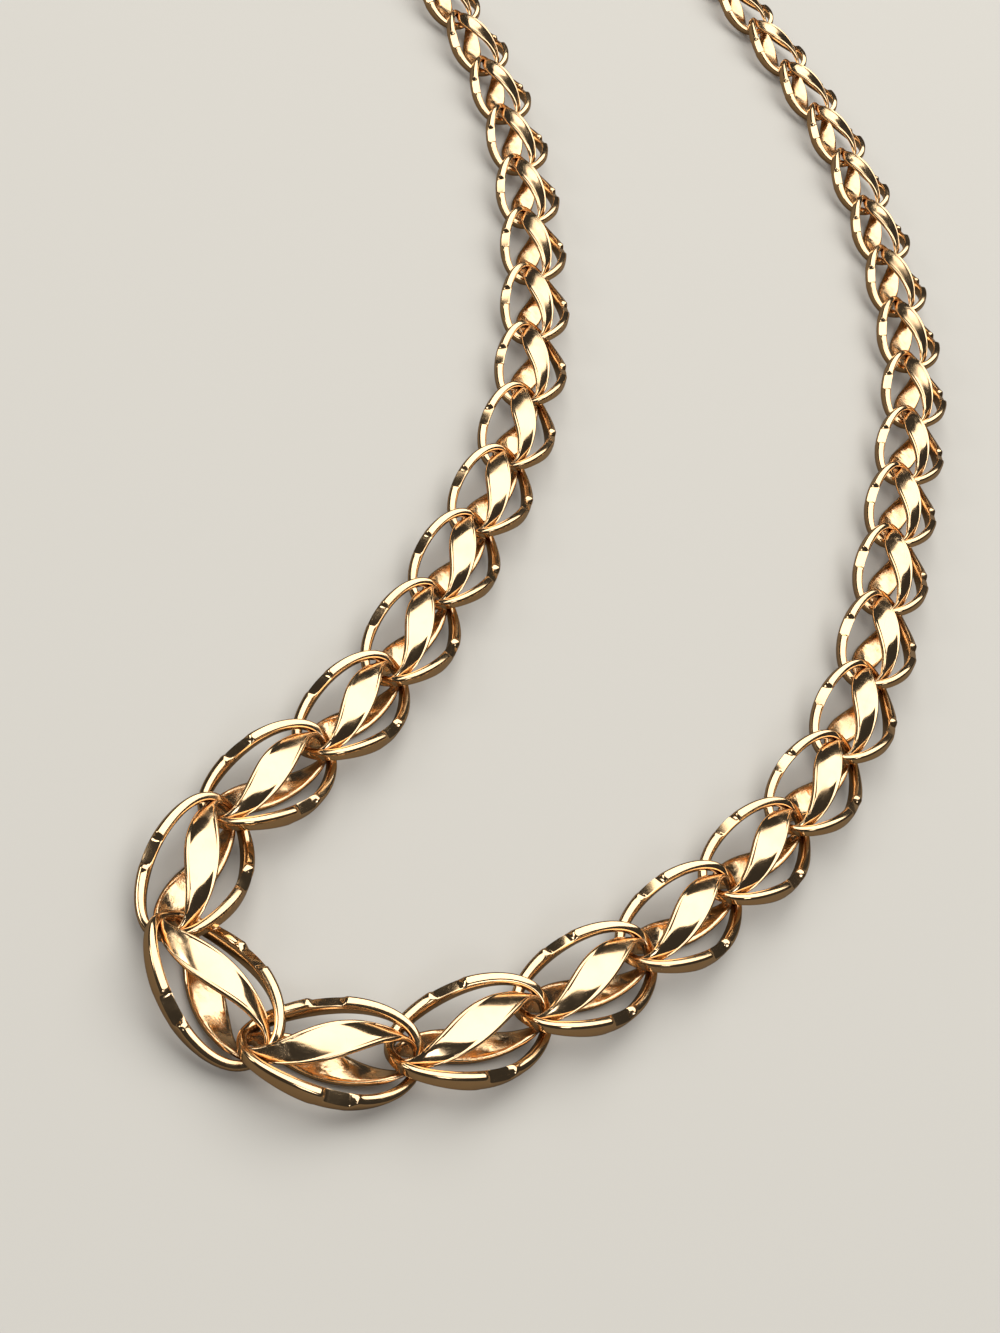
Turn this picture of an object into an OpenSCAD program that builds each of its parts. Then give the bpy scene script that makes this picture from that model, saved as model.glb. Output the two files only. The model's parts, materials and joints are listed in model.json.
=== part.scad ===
// Pocket watch chain: a graduated chain of twisted oval links, each with a willow-leaf
// bar over its top and underside, with a T-bar at one end and a swivel catch at the other.
// The chain lies in a U on a flat surface at z = 0, largest link at the bottom of the U,
// both arms running towards +Y. The origin is under the middle of the whole piece.

/* [Chain] */
// Pitch of the middle link, which is the largest
middle_pitch = 9.9; // [9.5:0.1:10.3]
// Share of the middle pitch that each link loses, one link after another, to both ends
taper = 0.011; // [0.009:0.001:0.012]

/* [Link, in shares of its pitch] */
// Reach of the outer frame's centre line from the middle of the link to its tip
frame_reach = 0.580; // [0.578:0.001:0.582]
// Half width of the outer frame's centre line
frame_half_width = 0.340; // [0.33:0.005:0.345]
// Thickness of the frame, measured across its outer face
frame_thick = 0.078; // [0.07:0.002:0.08]
// Width of the frame's strip at the tips
frame_tip_width = 0.085; // [0.075:0.005:0.085]
// Width of the frame's strip at mid length, over its flats
frame_flat_width = 0.140; // [0.11:0.005:0.15]
// Turn of the frame's plane from mid length to each tip, in degrees
frame_twist = 30; // [29:1:32]
// Reach of the leaf ring's centre line from the middle of the link to its tip
leaf_reach = 0.566; // [0.564:0.001:0.568]
// Height of the leaf's centre line over the middle of the link
leaf_rise = 0.195; // [0.185:0.005:0.205]
// Thickness of the leaf
leaf_thick = 0.047; // [0.043:0.002:0.049]
// Width of the leaf at the tips
leaf_tip_width = 0.072; // [0.068:0.002:0.074]
// Width of the leaf at mid length
leaf_mid_width = 0.260; // [0.2:0.01:0.27]
// Turn of the leaf's plane from mid length to each tip, in degrees
leaf_twist = 58; // [56:1:59]

/* [Jump rings] */
// Wire diameter of both jump rings
jump_wire = 0.8; // [0.7:0.05:0.85]
// Diameter of a jump ring's centre line
jump_span = 4.2; // [4.1:0.1:4.4]

/* [T-bar] */
// Length of the T-bar over its rounded ends
t_bar_length = 24; // [20:1:28]
// Diameter of the T-bar
t_bar_d = 2.6; // [2.2:0.1:2.8]
// Diameter of the collar in the middle
t_collar_d = 3.7; // [3.5:0.1:3.9]

/* [Swivel catch] */
// Diameter of the barrel that turns on the bow's stem
barrel_d = 3.7; // [3.6:0.1:3.9]
// Length of the barrel
barrel_length = 4.2; // [4:0.1:4.5]
// Diameter of the hook's centre line
hook_span = 9.2; // [9:0.1:9.6]
// Diameter of the hook's rod
hook_rod = 2.2; // [2:0.1:2.4]

/* [Hidden] */
// Turn from each link to the next, in degrees, going outwards from the middle link
left_turns = [-23, -56, -53, -27, 9, 10, 2, 2, 6, 7, 4, 3, 3, 5, 5, 7, 4, 3, 3, 3, 3, 2];
right_turns = [9, 7, 5, 8, 9, 6, 3, 0, 0, 7, 7, 3, 4, 5, 5, 4, 5, 2, 0, 0, 0, 0];
arm_count = len(left_turns);
link_count = 2 * arm_count + 1;
middle_link = arm_count + 1;
middle_at = [-42.06, -82.01];

function two_digits(n) = str(n < 10 ? "0" : "", n);
function link_name(n) = str("link_", two_digits(n));

rose_gold = [0.80, 0.56, 0.42];
polished_gold = [0.88, 0.66, 0.50];
spring_steel = [0.60, 0.60, 0.62];

// ---- the lie of the chain ----
// Links are numbered 1 .. link_count from the T-bar to the swivel. Seen from the middle,
// step 0 is the middle link and step k the k-th link of an arm.
function pitch_at(k) = middle_pitch * (1 - taper * k);
function unit(a) = [cos(a), sin(a)];
function total(list, n) = n == 0 ? 0 : list[n - 1] + total(list, n - 1);
function heading_at(start, turns, k) = start + total(turns, k);
// Pivot between step k and step k + 1, in the plane of the surface
function pivot_at(start, turns, k) =
    k == 0 ? middle_at + pitch_at(0) / 2 * unit(start)
           : pivot_at(start, turns, k - 1) + pitch_at(k) * unit(heading_at(start, turns, k));
function centre_at(start, turns, k) =
    k == 0 ? middle_at
           : pivot_at(start, turns, k) - pitch_at(k) / 2 * unit(heading_at(start, turns, k));

left_start = 180;
right_start = 0;
// Height of a link's middle over the surface: it rests on its lower leaf
function lie_height(pitch) = (leaf_rise + leaf_thick / 2) * pitch;

// ---- one link ----
// Outline of both strips: x across the strip, y through it, both as shares of the half size
strip_outline = [[-1, 0], [-0.6, 1], [0.6, 1], [1, 0], [0.6, -1], [-0.6, -1]];
frame_steps = 16;
leaf_steps = 16;

function signed_power(v, e) = sign(v) * pow(abs(v), e);
// A point of a ring that is twisted about the link's length; turn is its plane's angle
function ring_point(a, reach, half_width, squareness, start_turn, twist) =
    let (x = cos(a), turn = start_turn + twist * x, side = half_width * signed_power(sin(a), squareness))
    [reach * x, side * cos(turn), side * sin(turn)];
function ring_across(a, start_turn, twist) =
    let (turn = start_turn + twist * cos(a))
    [0, -sin(turn), cos(turn)];
function unit3(v) = v / norm(v);

module twisted_ring(reach, half_width, squareness, start_turn, twist, thick, tip_width, mid_width,
                    fullness, steps) {
    sides = len(strip_outline);
    step = 360 / steps;
    points = [
        for (i = [0 : steps - 1])
            let (
                a = i * step,
                here = ring_point(a, reach, half_width, squareness, start_turn, twist),
                ahead = ring_point(a + step, reach, half_width, squareness, start_turn, twist),
                behind = ring_point(a - step, reach, half_width, squareness, start_turn, twist),
                along = unit3(ahead - behind),
                flat = ring_across(a, start_turn, twist),
                across = unit3(flat - (flat * along) * along),
                through = cross(along, across),
                width = tip_width + (mid_width - tip_width) * pow(abs(sin(a)), fullness)
            )
            for (corner = strip_outline)
                here + corner[0] * width / 2 * across + corner[1] * thick / 2 * through
    ];
    faces = [
        for (i = [0 : steps - 1], j = [0 : sides - 1])
            let (
                next_i = (i + 1) % steps,
                next_j = (j + 1) % sides,
                p = i * sides + j,
                q = i * sides + next_j,
                r = next_i * sides + next_j,
                s = next_i * sides + j
            )
            each [[p, q, r], [p, r, s]]
    ];
    polyhedron(points, faces);
}

module link_shape(pitch) {
    scale(pitch) {
        twisted_ring(frame_reach, frame_half_width, 0.8, 0, frame_twist,
                     frame_thick, frame_tip_width, frame_flat_width, 4, frame_steps);
        twisted_ring(leaf_reach, leaf_rise, 0.75, 90, -leaf_twist,
                     leaf_thick, leaf_tip_width, leaf_mid_width, 3, leaf_steps);
    }
}

// Places a shape at step k of an arm, its x axis pointing outwards
module at_step(start, turns, k) {
    where = centre_at(start, turns, k);
    translate([where[0], where[1], lie_height(pitch_at(k))])
        rotate([0, 0, heading_at(start, turns, k)])
            children();
}

module chain_link(n) {
    k = abs(n - middle_link);
    color(rose_gold)
        if (n < middle_link) at_step(left_start, left_turns, k) link_shape(pitch_at(k));
        else at_step(right_start, right_turns, k) link_shape(pitch_at(k));
}

// ---- fittings ----
// Their shapes are drawn from the middle of the arm's last link, x pointing outwards and
// z = 0 on the surface.
end_pitch = pitch_at(arm_count);
ring_play = 0.25;
tip_inside = (leaf_reach - leaf_thick / 2) * end_pitch;
jump_x = tip_inside - ring_play - jump_wire / 2 + jump_span / 2;
jump_z = jump_span / 2 * sin(45) + jump_wire / 2;
eye_wire = 0.9;
eye_span = 4.4;
eye_x = jump_x + jump_span / 2 - jump_wire / 2 - ring_play - eye_wire / 2 + eye_span / 2;
neck_d = 1.3;

module at_arm_end(start, turns) {
    where = centre_at(start, turns, arm_count);
    translate([where[0], where[1], 0])
        rotate([0, 0, heading_at(start, turns, arm_count)])
            children();
}

module round_ring(span, wire) {
    rotate_extrude($fn = 48) translate([span / 2, 0]) circle(d = wire, $fn = 24);
}

// Leans at half a right angle, square to the tip of the link that it hangs from
module jump_ring() {
    color(rose_gold) translate([jump_x, 0, jump_z]) rotate([-45, 0, 0]) round_ring(jump_span, jump_wire);
}

// Flat ring with a stem that points outwards
module ring_with_stem(z, stem_d, stem_end) {
    translate([eye_x, 0, z]) {
        round_ring(eye_span, eye_wire);
        translate([eye_span / 2, 0, 0])
            rotate([0, 90, 0])
                cylinder(d = stem_d, h = stem_end - eye_x - eye_span / 2, $fn = 32);
    }
}

// T-bar: a turned bar across the arm, with the eye's neck riveted into its collar
t_bar_z = t_collar_d / 2;
collar_length = 3.2;
collar_bead = 0.8;
neck_gap = 0.35;
neck_depth = 1.3;
bar_x = eye_x + eye_span / 2 + eye_wire / 2 + neck_gap + t_collar_d / 2;

module t_bar_eye() {
    color(rose_gold) ring_with_stem(t_bar_z, neck_d, bar_x - t_collar_d / 2 + neck_depth);
}

module t_bar() {
    end_y = (t_bar_length - t_bar_d) / 2;
    color(polished_gold) difference() {
        translate([bar_x, 0, t_bar_z]) {
            rotate([90, 0, 0]) {
                cylinder(d = t_bar_d, h = 2 * end_y, center = true, $fn = 48);
                cylinder(d = t_collar_d, h = collar_length, center = true, $fn = 48);
            }
            for (side = [-1, 1]) {
                translate([0, side * end_y, 0]) sphere(d = t_bar_d, $fn = 48);
                translate([0, side * (collar_length + collar_bead) / 2, 0])
                    rotate([90, 0, 0]) round_ring(t_bar_d, collar_bead);
            }
        }
        ring_with_stem(t_bar_z, neck_d, bar_x - t_collar_d / 2 + neck_depth);
    }
}

// Swivel catch: the bow's stem turns in the barrel, held by a riveted collar in the slot
stem_d = 1.4;
running_gap = 0.05;
swivel_z = barrel_d / 2;
barrel_gap = 0.25;
barrel_x = eye_x + eye_span / 2 + eye_wire / 2 + barrel_gap;
barrel_end = barrel_x + barrel_length;
wall = 1.5;
slot_x = barrel_x + wall;
slot_length = 0.9;
slot_width = 2.5;
rivet_d = 2.2;
rivet_thick = 0.7;
rivet_x = slot_x + (slot_length - rivet_thick) / 2;

// Hook and gate are one rod bent round hook_x; the gate swings on a pin beside the barrel
hook_root = 0.8;
hook_x = barrel_end + hook_span / 2 - hook_root;
pin_turn = -150;
pin_x = hook_x + hook_span / 2 * cos(pin_turn);
pin_y = hook_span / 2 * sin(pin_turn);
pin_d = 0.9;
pin_length = 2.6;
knuckle_d = 2.4;
knuckle_length = 1.1;
lug_gap = 0.1;
lug_thick = 0.65;
gate_rod = 1.7;
gate_tip_turn = -40;
gate_radius = 6.6;
gate_play = 0.2;
nose_turn = -75;
spring_d = 1.6;
spring_bore = 1.05;
spring_length = 0.4;
spring_seat_d = 1.8;
spring_seat = 0.5;
thumb_turn = -95;
thumb_d = 1.5;

// Length of the rod from one angle to another, bent round the hook's middle
module bent_rod(rod, from, to) {
    translate([hook_x, 0, swivel_z])
        rotate([0, 0, from])
            rotate_extrude(angle = to - from, $fn = 96)
                translate([hook_span / 2, 0]) circle(d = rod, $fn = 32);
}

module at_pin(z) {
    translate([pin_x, pin_y, swivel_z + z]) children();
}

module swivel_bow() {
    color(rose_gold) ring_with_stem(swivel_z, stem_d, rivet_x + rivet_thick);
}

module swivel_rivet() {
    color(rose_gold)
        translate([rivet_x, 0, swivel_z])
            rotate([0, 90, 0])
                difference() {
                    cylinder(d = rivet_d, h = rivet_thick, $fn = 32);
                    translate([0, 0, -1]) cylinder(d = stem_d, h = rivet_thick + 2, $fn = 32);
                }
}

module lugs() {
    lug_z = knuckle_length / 2 + lug_gap;
    for (z = [lug_z, -lug_z - lug_thick])
        at_pin(z) {
            cylinder(d = knuckle_d, h = lug_thick, $fn = 32);
            translate([-knuckle_d / 2, 0, 0]) cube([knuckle_d, -pin_y, lug_thick]);
        }
}

module swivel_body() {
    color(polished_gold) difference() {
        union() {
            translate([barrel_x, 0, swivel_z])
                rotate([0, 90, 0])
                    cylinder(d = barrel_d, h = barrel_length, $fn = 48);
            bent_rod(hook_rod, nose_turn, 180);
            lugs();
        }
        // The stem's bore and the slot that its riveted collar turns in
        translate([barrel_x - 1, 0, swivel_z])
            rotate([0, 90, 0])
                cylinder(d = stem_d + 2 * running_gap, h = wall + 1.5, $fn = 32);
        translate([slot_x, -slot_width / 2, -1]) cube([slot_length, slot_width, barrel_d + 2]);
        // Room for the gate's knuckle and for the sweep of its tip
        at_pin(-knuckle_length / 2 - lug_gap)
            cylinder(d = knuckle_d + 2 * gate_play, h = knuckle_length + 2 * lug_gap, $fn = 48);
        intersection() {
            at_pin(-swivel_z) cylinder(r = gate_radius + gate_play, h = barrel_d, $fn = 96);
            translate([pin_x + knuckle_d, -hook_span, 0]) cube([hook_span, hook_span - 1, barrel_d]);
        }
        at_pin(-pin_length) cylinder(d = pin_d, h = 2 * pin_length, $fn = 32);
    }
}

module swivel_gate() {
    color(rose_gold) difference() {
        union() {
            at_pin(-knuckle_length / 2) cylinder(d = knuckle_d, h = knuckle_length, $fn = 48);
            intersection() {
                bent_rod(gate_rod, pin_turn, gate_tip_turn);
                at_pin(-swivel_z) cylinder(r = gate_radius, h = barrel_d, $fn = 96);
            }
            translate([hook_x, 0, swivel_z])
                rotate([0, 0, thumb_turn])
                    translate([(hook_span + gate_rod) / 2, 0, 0])
                        sphere(d = thumb_d, $fn = 32);
        }
        // The rod is stepped down to the knuckle's length where it runs between the lugs
        for (z = [knuckle_length / 2, -knuckle_length / 2 - gate_rod])
            at_pin(z) cylinder(d = knuckle_d + 2 * gate_play, h = gate_rod, $fn = 48);
        at_pin(-pin_length) cylinder(d = pin_d + 2 * running_gap, h = 2 * pin_length, $fn = 32);
        at_pin(knuckle_length / 2 - spring_seat) cylinder(d = spring_seat_d, h = 1, $fn = 32);
    }
}

module gate_pin() {
    color(polished_gold) at_pin(-pin_length / 2) cylinder(d = pin_d, h = pin_length, $fn = 32);
}

module gate_spring() {
    color(spring_steel)
        at_pin(knuckle_length / 2 - spring_length)
            difference() {
                cylinder(d = spring_d, h = spring_length, $fn = 32);
                translate([0, 0, -1]) cylinder(d = spring_bore, h = spring_length + 2, $fn = 32);
            }
}

for (n = [1 : link_count]) chain_link(n);
at_arm_end(left_start, left_turns) jump_ring();  // t_bar_jump_ring
at_arm_end(left_start, left_turns) t_bar_eye();
at_arm_end(left_start, left_turns) t_bar();
at_arm_end(right_start, right_turns) jump_ring();  // swivel_jump_ring
at_arm_end(right_start, right_turns) swivel_bow();
at_arm_end(right_start, right_turns) swivel_rivet();
at_arm_end(right_start, right_turns) swivel_body();
at_arm_end(right_start, right_turns) swivel_gate();
at_arm_end(right_start, right_turns) gate_pin();
at_arm_end(right_start, right_turns) gate_spring();
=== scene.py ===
"""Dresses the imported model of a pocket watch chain.

Every link is a twisted oval frame with a willow-leaf bar over its top and its underside.
The links, jump rings, T-bar and swivel catch are built here in fine detail, each in the
place of the CAD node that it stands for, and ride on that node's body.
"""

import json
import logging
import math
from dataclasses import dataclass, field
from enum import Enum
from typing import Sequence

import bmesh
import bpy
from mathutils import Matrix, Vector
from mathutils.bvhtree import BVHTree


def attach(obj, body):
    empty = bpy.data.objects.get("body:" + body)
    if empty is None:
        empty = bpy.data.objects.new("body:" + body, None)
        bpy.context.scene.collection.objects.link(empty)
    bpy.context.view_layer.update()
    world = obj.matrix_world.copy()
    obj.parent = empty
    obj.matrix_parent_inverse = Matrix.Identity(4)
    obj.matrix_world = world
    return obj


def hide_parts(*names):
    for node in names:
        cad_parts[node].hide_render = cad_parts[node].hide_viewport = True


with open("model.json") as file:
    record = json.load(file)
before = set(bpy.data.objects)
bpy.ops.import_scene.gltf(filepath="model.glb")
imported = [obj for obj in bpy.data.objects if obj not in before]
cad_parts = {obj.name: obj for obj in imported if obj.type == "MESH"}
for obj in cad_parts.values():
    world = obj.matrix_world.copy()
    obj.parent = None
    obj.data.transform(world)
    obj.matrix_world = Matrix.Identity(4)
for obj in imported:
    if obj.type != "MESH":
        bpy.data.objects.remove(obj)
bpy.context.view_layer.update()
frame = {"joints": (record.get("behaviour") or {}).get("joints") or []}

MM = 0.001
FULL_TURN = 2 * math.pi

# The chain's own measures, as the CAD model has them
LINK_COUNT = 45
MIDDLE_LINK = 23
MIDDLE_PITCH = 9.9 * MM
TAPER = 0.011
LEAF_REACH = 0.566
LEAF_RISE = 0.195
LEAF_THICK = 0.047

logging.basicConfig(level=logging.INFO, format="%(message)s")
log = logging.getLogger("watch_chain")


class Slot(Enum):
    """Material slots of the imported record."""

    LINK = "link_gold"
    WIRE = "wire_gold"
    POLISHED = "polished_gold"
    SPRING = "spring_steel"


# ---------------------------------------------------------------- shader groups


def new_group(
    name: str, outputs: Sequence[str]
) -> tuple[bpy.types.NodeTree, bpy.types.Node]:
    """Starts a shader node group that gives out values.

    Args:
        name: Name of the group.
        outputs: Names of its outputs.

    Returns:
        The node tree and its output node.
    """
    tree = bpy.data.node_groups.new(name, "ShaderNodeTree")
    for label in outputs:
        tree.interface.new_socket(name=label, in_out="OUTPUT", socket_type="NodeSocketFloat")
    return tree, tree.nodes.new("NodeGroupOutput")


def math_node(
    tree: bpy.types.NodeTree,
    kind: str,
    *values: bpy.types.NodeSocket | float,
    clamp: bool = False,
) -> bpy.types.NodeSocket:
    """Adds a Math node and joins or sets its inputs.

    Args:
        tree: Node tree that takes the node.
        kind: Operation, such as MULTIPLY.
        values: Sockets to join, or numbers to set.
        clamp: Whether the result is held between 0 and 1.

    Returns:
        The node's output socket.
    """
    node = tree.nodes.new("ShaderNodeMath")
    node.operation = kind
    node.use_clamp = clamp
    for index, value in enumerate(values):
        if isinstance(value, (int, float)):
            node.inputs[index].default_value = value
        else:
            tree.links.new(value, node.inputs[index])
    return node.outputs[0]


def ramp_node(
    tree: bpy.types.NodeTree, value: bpy.types.NodeSocket, low: float, high: float
) -> bpy.types.NodeSocket:
    """Adds a smooth Map Range to 0..1.

    Args:
        tree: Node tree that takes the node.
        value: Socket to map.
        low: Value that becomes 0.
        high: Value that becomes 1.

    Returns:
        The node's output socket.
    """
    node = tree.nodes.new("ShaderNodeMapRange")
    node.interpolation_type = "SMOOTHSTEP"
    node.inputs["From Min"].default_value = low
    node.inputs["From Max"].default_value = high
    tree.links.new(value, node.inputs["Value"])
    return node.outputs["Result"]


def noise_node(
    tree: bpy.types.NodeTree,
    vector: bpy.types.NodeSocket,
    scale: float,
    detail: float,
    stretch: Sequence[float] = (1, 1, 1),
) -> bpy.types.NodeSocket:
    """Adds a noise texture on a stretched vector.

    Args:
        tree: Node tree that takes the nodes.
        vector: Vector socket that the pattern reads.
        scale: Scale of the noise.
        detail: Octaves of the noise.
        stretch: Scale of the vector along each axis.

    Returns:
        The factor output of the noise.
    """
    place = tree.nodes.new("ShaderNodeMapping")
    place.inputs["Scale"].default_value = stretch
    noise = tree.nodes.new("ShaderNodeTexNoise")
    noise.inputs["Scale"].default_value = scale
    noise.inputs["Detail"].default_value = detail
    tree.links.new(vector, place.inputs["Vector"])
    tree.links.new(place.outputs["Vector"], noise.inputs["Vector"])
    return noise.outputs["Fac"]


def attribute_node(
    tree: bpy.types.NodeTree, name: str, output: str
) -> bpy.types.NodeSocket:
    """Reads one of the piece's own attributes.

    Args:
        tree: Node tree that takes the node.
        name: Name of the attribute.
        output: Which of the node's outputs is wanted.

    Returns:
        That output.
    """
    node = tree.nodes.new("ShaderNodeAttribute")
    node.attribute_type = "GEOMETRY"
    node.attribute_name = name
    return node.outputs[output]


def group_node(tree: bpy.types.NodeTree, group: bpy.types.NodeTree) -> bpy.types.Node:
    """Adds a node that stands for a shader group and returns it."""
    node = tree.nodes.new("ShaderNodeGroup")
    node.node_tree = group
    return node


def build_wear_group() -> bpy.types.NodeTree:
    """Fine rubbing scratches that run two ways, with a cloudy haze.

    Returns:
        A group with outputs Scratches, Haze and Height.
    """
    tree, end = new_group("rubbed_wear", ("Scratches", "Haze", "Height"))
    place = attribute_node(tree, "place", "Vector")
    along = noise_node(tree, place, 1.0, 3.0, (0.35, 7.0, 7.0))
    athwart = noise_node(tree, place, 1.0, 3.0, (6.0, 0.5, 6.0))
    scratch = math_node(
        tree,
        "MAXIMUM",
        ramp_node(tree, along, 0.60, 0.74),
        ramp_node(tree, athwart, 0.63, 0.76),
    )
    haze = ramp_node(tree, noise_node(tree, place, 0.45, 4.0), 0.38, 0.72)
    waves = noise_node(tree, place, 0.55, 1.5)
    height = math_node(tree, "SUBTRACT", waves, math_node(tree, "MULTIPLY", scratch, 0.04))
    tree.links.new(scratch, end.inputs["Scratches"])
    tree.links.new(haze, end.inputs["Haze"])
    tree.links.new(height, end.inputs["Height"])
    return tree


def build_grain_group() -> bpy.types.NodeTree:
    """Punched grain that shows where the piece's grain attribute says.

    Returns:
        A group with outputs Mask and Height.
    """
    tree, end = new_group("punched_grain", ("Mask", "Height"))
    place = attribute_node(tree, "place", "Vector")
    amount = attribute_node(tree, "grain", "Fac")
    fine = noise_node(tree, place, 9.0, 3.0)
    coarse = ramp_node(tree, noise_node(tree, place, 1.1, 2.0), 0.40, 0.60)
    mask = math_node(tree, "MULTIPLY", amount, coarse)
    height = math_node(tree, "MULTIPLY", fine, mask)
    tree.links.new(mask, end.inputs["Mask"])
    tree.links.new(height, end.inputs["Height"])
    return tree


# ---------------------------------------------------------------- finishes


@dataclass(frozen=True)
class GoldFinish:
    """Rose gold with painted shade: it darkens to amber where the link and its neighbours close
    it in.
    """

    name: str
    bright: tuple[float, float, float] = (1.0, 0.71, 0.42)
    # Painted shade: the dark amber that the gold turns to where it is closed in
    painted_shade_colour: tuple[float, float, float] = (0.34, 0.14, 0.05)
    polish: float = 0.09
    worn: float = 0.20
    scratch_depth: float = 0.30
    grain_depth: float = 0.7

    def material(self, groups: dict[str, bpy.types.NodeTree]) -> bpy.types.Material:
        """Builds the material.

        Args:
            groups: Shader groups by name.

        Returns:
            The material.
        """
        made = bpy.data.materials.new(self.name)
        made.use_nodes = True
        tree = made.node_tree
        shader = tree.nodes["Principled BSDF"]
        shader.inputs["Metallic"].default_value = 1.0
        wear = group_node(tree, groups["wear"])
        grain = group_node(tree, groups["grain"])
        hollow_shade = attribute_node(tree, "hollow_shade", "Fac")

        colour = tree.nodes.new("ShaderNodeMix")
        colour.data_type = "RGBA"
        colour.inputs["A"].default_value = (*self.bright, 1)
        colour.inputs["B"].default_value = (*self.painted_shade_colour, 1)
        # Painted shade: the colour darkens towards dark amber where rays cast from the surface
        # meet the link or its neighbours, and a little more with the cloudy wear haze
        painted_shade_and_haze = math_node(
            tree,
            "ADD",
            ramp_node(tree, hollow_shade, 0.35, 1.0),
            math_node(tree, "MULTIPLY", wear.outputs["Haze"], 0.10),
            clamp=True,
        )
        tree.links.new(painted_shade_and_haze, colour.inputs["Factor"])
        tree.links.new(colour.outputs["Result"], shader.inputs["Base Color"])

        rough = math_node(
            tree,
            "ADD",
            math_node(tree, "MULTIPLY", wear.outputs["Haze"], self.worn - self.polish),
            math_node(tree, "MULTIPLY", wear.outputs["Scratches"], 0.10),
        )
        rough = math_node(
            tree, "ADD", rough, math_node(tree, "MULTIPLY", grain.outputs["Mask"], 0.14)
        )
        rough = math_node(tree, "ADD", rough, self.polish, clamp=True)
        tree.links.new(rough, shader.inputs["Roughness"])

        relief = self.bump(tree, wear.outputs["Height"], self.scratch_depth, 0.03 * MM)
        pits = self.bump(tree, grain.outputs["Height"], self.grain_depth, 0.025 * MM)
        tree.links.new(relief.outputs["Normal"], pits.inputs["Normal"])
        tree.links.new(pits.outputs["Normal"], shader.inputs["Normal"])
        return made

    def bump(
        self,
        tree: bpy.types.NodeTree,
        height: bpy.types.NodeSocket,
        strength: float,
        distance: float,
    ) -> bpy.types.Node:
        """Adds a Bump node.

        Args:
            tree: Node tree that takes the node.
            height: Socket with the height.
            strength: Share of the relief that shows.
            distance: Depth of the relief, in metres.

        Returns:
            The node.
        """
        node = tree.nodes.new("ShaderNodeBump")
        node.inputs["Strength"].default_value = strength
        node.inputs["Distance"].default_value = distance
        tree.links.new(height, node.inputs["Height"])
        return node


@dataclass(frozen=True)
class SteelFinish:
    """Blued spring steel."""

    name: str = "spring_steel_wire"
    colour: tuple[float, float, float] = (0.42, 0.43, 0.47)

    def material(self, groups: dict[str, bpy.types.NodeTree]) -> bpy.types.Material:
        """Builds the material.

        Args:
            groups: Shader groups by name.

        Returns:
            The material.
        """
        made = bpy.data.materials.new(self.name)
        made.use_nodes = True
        tree = made.node_tree
        shader = tree.nodes["Principled BSDF"]
        shader.inputs["Metallic"].default_value = 1.0
        shader.inputs["Base Color"].default_value = (*self.colour, 1)
        wear = group_node(tree, groups["wear"])
        rough = math_node(
            tree, "ADD", math_node(tree, "MULTIPLY", wear.outputs["Haze"], 0.15), 0.22
        )
        tree.links.new(rough, shader.inputs["Roughness"])
        return made


# ---------------------------------------------------------------- making pieces


@dataclass
class Workshop:
    """Turns a bmesh in millimetres into a piece of the scene."""

    materials: dict[Slot, bpy.types.Material]
    made: list[str] = field(default_factory=list)

    def finish(
        self,
        bm: bmesh.types.BMesh,
        name: str,
        place: Matrix,
        slot: Slot,
        body: str,
        node: str,
    ) -> None:
        """Places a bmesh in the row frame and hands it to its body.

        Args:
            bm: The piece in its own millimetres; it is freed.
            name: Name of the piece.
            place: Matrix from those millimetres to the row frame in metres.
            slot: Material slot of the record.
            body: Body that the piece rides on.
            node: CAD node that it stands for.
        """
        mark_places(bm, len(self.made))
        move(bm, place)
        mesh = bpy.data.meshes.new(name)
        bm.to_mesh(mesh)
        bm.free()
        mesh.materials.append(self.materials[slot])
        piece = bpy.data.objects.new(name, mesh)
        bpy.context.scene.collection.objects.link(piece)
        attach(piece, body)
        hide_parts(node)
        self.made.append(name)
        log.info("%s: %d faces on %s", name, len(mesh.polygons), body)


def mark_places(bm: bmesh.types.BMesh, turn: int) -> None:
    """Stores each vertex's own place for the patterns to read, and blank masks of painted shade
    and grain.

    Args:
        bm: The piece in its own millimetres.
        turn: Number of the piece, which shifts the pattern.
    """
    layers = bm.verts.layers
    for name in ("hollow_shade", "grain"):
        if layers.float.get(name) is None:
            layers.float.new(name)
    place = layers.float_vector.new("place")
    offset = Vector((13.7, 7.1, 3.3)) * turn
    for vert in bm.verts:
        vert[place] = vert.co + offset


def face_outwards(bm: bmesh.types.BMesh) -> bmesh.types.BMesh:
    """Turns the faces of a closed shell outwards and returns it."""
    bmesh.ops.recalc_face_normals(bm, faces=bm.faces[:])
    if bm.calc_volume(signed=True) < 0:
        bmesh.ops.reverse_faces(bm, faces=bm.faces[:])
    bm.normal_update()
    return bm


def sharpen(bm: bmesh.types.BMesh, degrees: float = 32.0) -> None:
    """Shades a bmesh smooth except along edges that bend more than the angle."""
    limit = math.radians(degrees)
    for face in bm.faces:
        face.smooth = True
    for edge in bm.edges:
        edge.smooth = edge.calc_face_angle(0.0) < limit


def shift(bm: bmesh.types.BMesh, way: Sequence[float]) -> None:
    """Moves a whole bmesh."""
    bmesh.ops.translate(bm, verts=bm.verts[:], vec=way)


def move(bm: bmesh.types.BMesh, matrix: Matrix) -> None:
    """Turns and moves a whole bmesh."""
    bmesh.ops.transform(bm, matrix=matrix, verts=bm.verts[:])


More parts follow.
